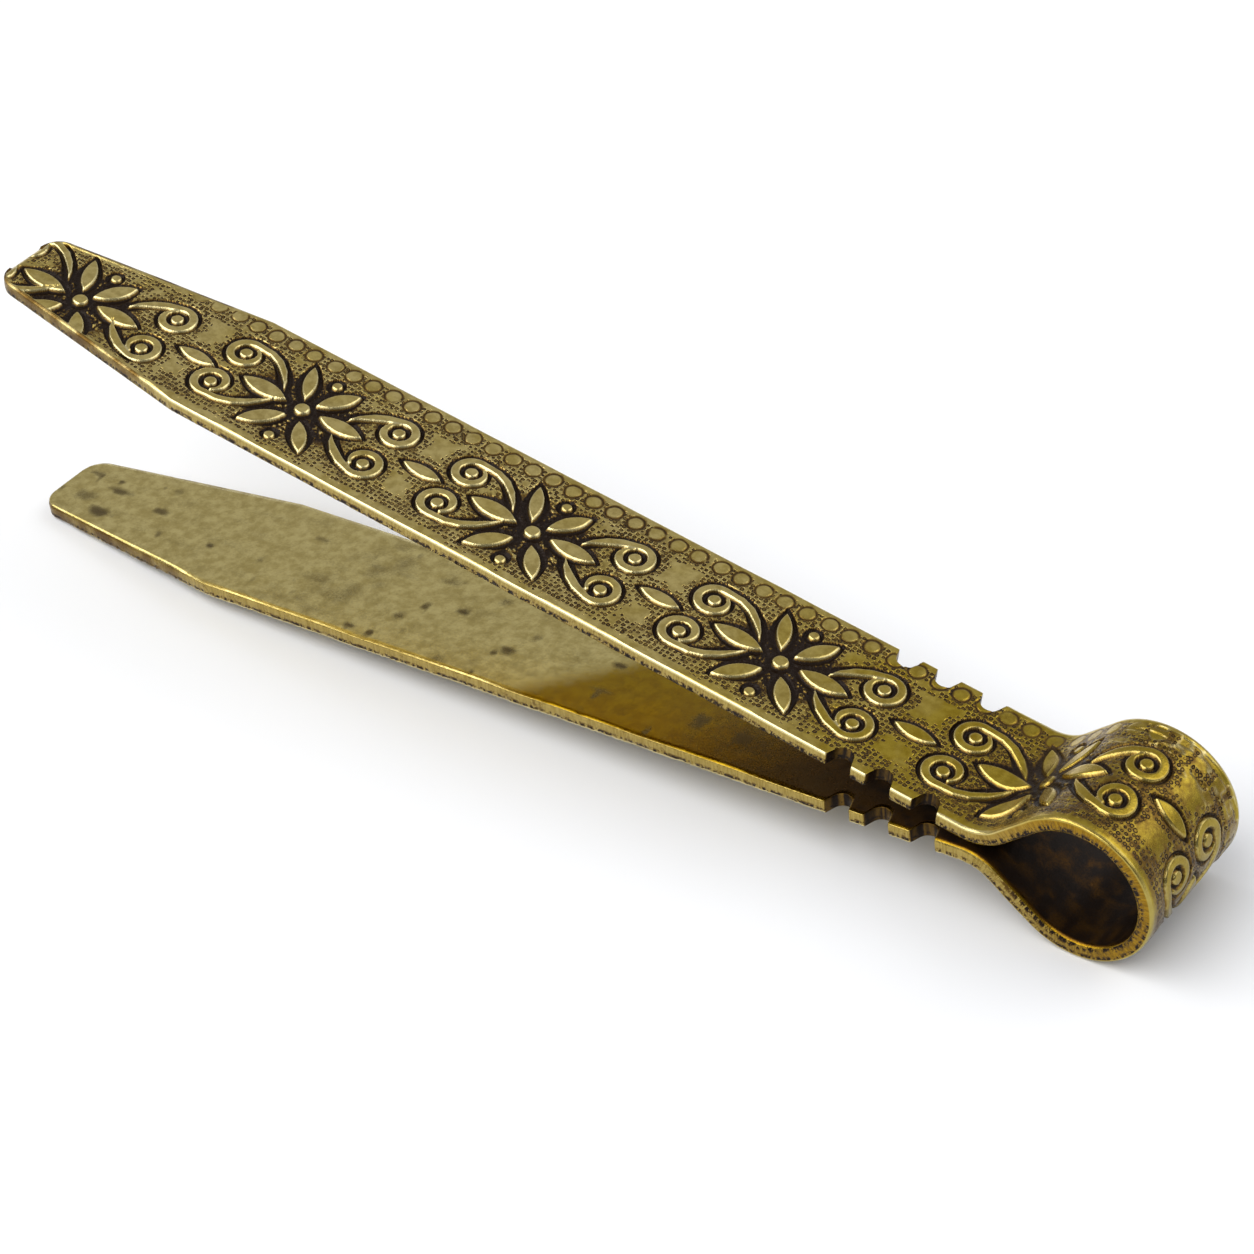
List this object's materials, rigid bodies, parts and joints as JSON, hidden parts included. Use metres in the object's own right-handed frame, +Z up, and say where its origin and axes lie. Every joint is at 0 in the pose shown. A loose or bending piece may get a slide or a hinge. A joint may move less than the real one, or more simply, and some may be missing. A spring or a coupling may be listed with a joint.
{
  "type": "spring tongs",
  "caption": "Spring tongs bent from one flat brass strip: a round bow, a pinched neck, notched shanks and two spreading arms with tapered jaws.",
  "frame": {"origin": "bottom centre of the box, on the surface that the tongs lie on", "axes": "+X from the jaws to the spring bow, +Y across the strip, +Z up; the tongs lie on the underside of the bow and the end of the lower jaw, so the plane midway between the arms leans 3.36 degrees, higher at the jaws"},
  "size_m": [0.135, 0.016, 0.0296],
  "materials": {
    "brass_strip": "antique, satin high spots with dark patina in the hollows"
  },
  "bodies": {
    "bow": {"spring_bow": "brass_strip"},
    "upper_neck": {"upper_neck": "brass_strip"},
    "upper_arm": {"upper_arm": "brass_strip"},
    "lower_neck": {"lower_neck": "brass_strip"},
    "lower_arm": {"lower_arm": "brass_strip"}
  },
  "joints": [
    {"name": "upper_bow_flex", "type": "hinge", "parent": "bow", "child": "upper_neck", "pos_m": [0.06143, 0, 0.01254], "axis": [0, -1, 0], "range_deg": [0, 2.51], "stiffness_Nm_per_rad": 28},
    {"name": "upper_arm_flex", "type": "hinge", "parent": "upper_neck", "child": "upper_arm", "pos_m": [0.03422, 0, 0.01092], "axis": [0, -1, 0], "range_deg": [0, 4.26], "stiffness_Nm_per_rad": 8},
    {"name": "lower_bow_flex", "type": "hinge", "parent": "bow", "child": "lower_neck", "pos_m": [0.06085, 0, 0.0027], "axis": [0, 1, 0], "range_deg": [0, 2.5], "stiffness_Nm_per_rad": 28},
    {"name": "lower_arm_flex", "type": "hinge", "parent": "lower_neck", "child": "lower_arm", "pos_m": [0.03397, 0, 0.00661], "axis": [0, 1, 0], "range_deg": [0, 4.28], "stiffness_Nm_per_rad": 8}
  ],
  "couplings": [
    {"joint": "upper_arm_flex", "follows": "upper_bow_flex", "ratio": 1.6972},
    {"joint": "lower_arm_flex", "follows": "lower_bow_flex", "ratio": 1.712}
  ]
}
